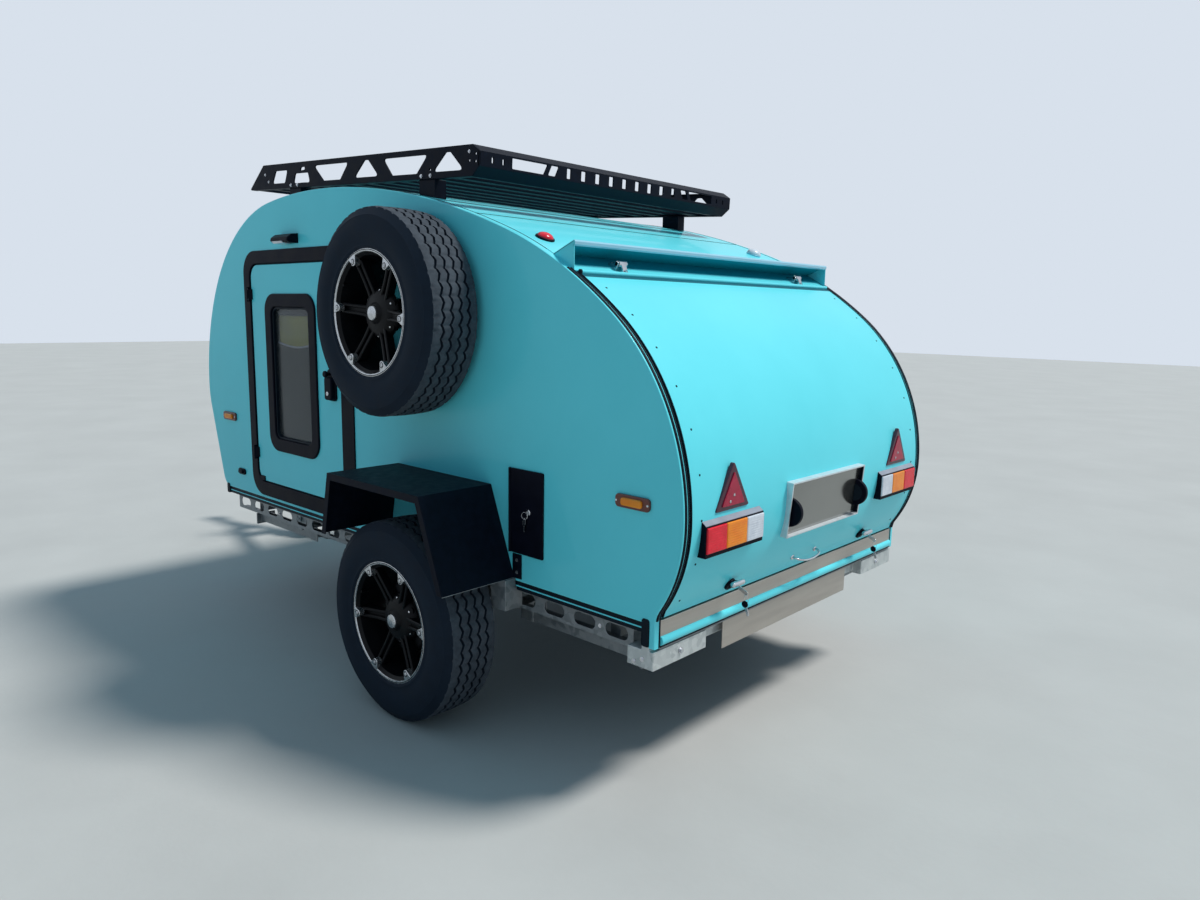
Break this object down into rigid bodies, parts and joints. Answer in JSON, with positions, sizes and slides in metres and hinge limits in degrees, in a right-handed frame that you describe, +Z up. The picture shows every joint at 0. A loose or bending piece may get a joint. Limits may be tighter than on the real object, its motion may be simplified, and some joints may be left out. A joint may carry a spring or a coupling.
{
  "type": "teardrop camping trailer",
  "caption": "Single-axle teardrop camping trailer with side doors, lifting rear hatch, roof rack, wall-mounted spare wheel, jockey wheel and folding corner steadies.",
  "frame": {"origin": "on the ground under the middle of the trailer's length and width", "axes": "+X towards the hitch, +Y to the left, +Z up"},
  "size_m": [4.079, 2.114, 1.9676],
  "materials": {
    "turquoise_panel": "glossy turquoise sandwich panel",
    "black_frame": "black moulded frame",
    "black_rubber": "black seal",
    "black_steel": "black powder coat, fine texture",
    "galvanised_steel": "hot dip galvanised",
    "cast_coupler": "black coated casting",
    "stainless_steel": "brushed stainless",
    "plywood": "varnished plywood",
    "window_glass": "dark tinted acrylic",
    "red_lens": "red lens",
    "amber_lens": "amber lens",
    "clear_lens": "clear lens",
    "tyre_rubber": "black tyre rubber",
    "black_alloy": "gloss black alloy wheel with a bright rim edge",
    "jockey_rubber": "solid rubber wheel"
  },
  "bodies": {
    "trailer": {"side_wall_left": "turquoise_panel", "side_wall_right": "turquoise_panel", "roof_rear": "turquoise_panel", "roof_front": "turquoise_panel", "front_panel": "turquoise_panel", "floor": "plywood", "bulkhead": "plywood", "galley_counter": "plywood", "hinge_rail": "stainless_steel", "hatch_hood": "turquoise_panel", "door_frames": "black_frame", "body_seals": "black_rubber", "spare_rim": "black_alloy", "spare_tyre": "tyre_rubber", "spare_carrier": "black_steel", "fenders": "black_steel", "chassis_rails": "galvanised_steel", "cross_members": "galvanised_steel", "rear_beam": "galvanised_steel", "axle_beam": "galvanised_steel", "trailing_arms": "galvanised_steel", "rear_sill": "stainless_steel", "drawbar": "galvanised_steel", "coupler": "cast_coupler", "jockey_tube": "galvanised_steel", "frame_brackets": "galvanised_steel", "rack_frame": "black_steel", "rack_slats": "black_steel", "rack_feet": "black_steel", "marker_lamps": "amber_lens", "porch_lamps": "black_frame"},
    "wheel_left": {"rim_left": "black_alloy", "tyre_left": "tyre_rubber"},
    "wheel_right": {"rim_right": "black_alloy", "tyre_right": "tyre_rubber"},
    "door_left": {"door_leaf_left": "turquoise_panel", "door_window_frame_left": "black_frame", "door_glass_left": "window_glass", "door_handle_left": "black_frame"},
    "door_right": {"door_leaf_right": "turquoise_panel", "door_window_frame_right": "black_frame", "door_glass_right": "window_glass", "door_handle_right": "black_frame"},
    "hatch": {"hatch_panel": "turquoise_panel", "hatch_hinges": "stainless_steel", "lamp_housings": "black_frame", "lens_red": "red_lens", "lens_amber": "amber_lens", "lens_white": "clear_lens", "reflector_triangles": "red_lens", "plate_tray": "stainless_steel", "plate_lamps": "black_frame", "hatch_hardware": "stainless_steel"},
    "flap": {"service_flap": "black_frame"},
    "jockey_post": {"jockey_leg": "galvanised_steel"},
    "jockey_caster": {"jockey_fork": "galvanised_steel"},
    "jockey_roller": {"jockey_wheel": "jockey_rubber"},
    "steady_front_left": {"steady_front_left": "galvanised_steel"},
    "steady_front_right": {"steady_front_right": "galvanised_steel"},
    "steady_rear_left": {"steady_rear_left": "galvanised_steel"},
    "steady_rear_right": {"steady_rear_right": "galvanised_steel"}
  },
  "joints": [
    {"name": "wheel_left_spin", "type": "hinge", "parent": "trailer", "child": "wheel_left", "pos_m": [-0.9595, 0.905, 0.34], "axis": [0, 1, 0], "continuous": true},
    {"name": "wheel_right_spin", "type": "hinge", "parent": "trailer", "child": "wheel_right", "pos_m": [-0.9595, -0.905, 0.34], "axis": [0, 1, 0], "continuous": true},
    {"name": "door_left_hinge", "type": "hinge", "parent": "trailer", "child": "door_left", "pos_m": [0.3945, 0.782, 1.07], "axis": [0, 0, -1], "range_deg": [0, 100]},
    {"name": "door_right_hinge", "type": "hinge", "parent": "trailer", "child": "door_right", "pos_m": [0.3945, -0.782, 1.07], "axis": [0, 0, 1], "range_deg": [0, 100]},
    {"name": "hatch_hinge", "type": "hinge", "parent": "trailer", "child": "hatch", "pos_m": [-1.5465, 0, 1.51782], "axis": [0, 1, 0], "range_deg": [0, 80]},
    {"name": "flap_hinge", "type": "hinge", "parent": "trailer", "child": "flap", "pos_m": [-1.314, 0.7748, 0.75], "axis": [0, 0, -1], "range_deg": [0, 85]},
    {"name": "jockey_lift", "type": "slide", "parent": "trailer", "child": "jockey_post", "axis": [0, 0, 1], "range_m": [-0.09, 0.08]},
    {"name": "jockey_swivel", "type": "hinge", "parent": "jockey_post", "child": "jockey_caster", "pos_m": [1.4755, 0, 0.2], "axis": [0, 0, 1], "continuous": true},
    {"name": "jockey_spin", "type": "hinge", "parent": "jockey_caster", "child": "jockey_roller", "pos_m": [1.4305, 0, 0.105], "axis": [0, 1, 0], "continuous": true},
    {"name": "steady_front_left_hinge", "type": "hinge", "parent": "trailer", "child": "steady_front_left", "pos_m": [0.1055, 0.64, 0.365], "axis": [0, 1, 0], "range_deg": [0, 42]},
    {"name": "steady_front_right_hinge", "type": "hinge", "parent": "trailer", "child": "steady_front_right", "pos_m": [0.1055, -0.64, 0.365], "axis": [0, 1, 0], "range_deg": [0, 42]},
    {"name": "steady_rear_left_hinge", "type": "hinge", "parent": "trailer", "child": "steady_rear_left", "pos_m": [-1.2845, 0.64, 0.365], "axis": [0, -1, 0], "range_deg": [0, 42]},
    {"name": "steady_rear_right_hinge", "type": "hinge", "parent": "trailer", "child": "steady_rear_right", "pos_m": [-1.2845, -0.64, 0.365], "axis": [0, -1, 0], "range_deg": [0, 42]}
  ]
}
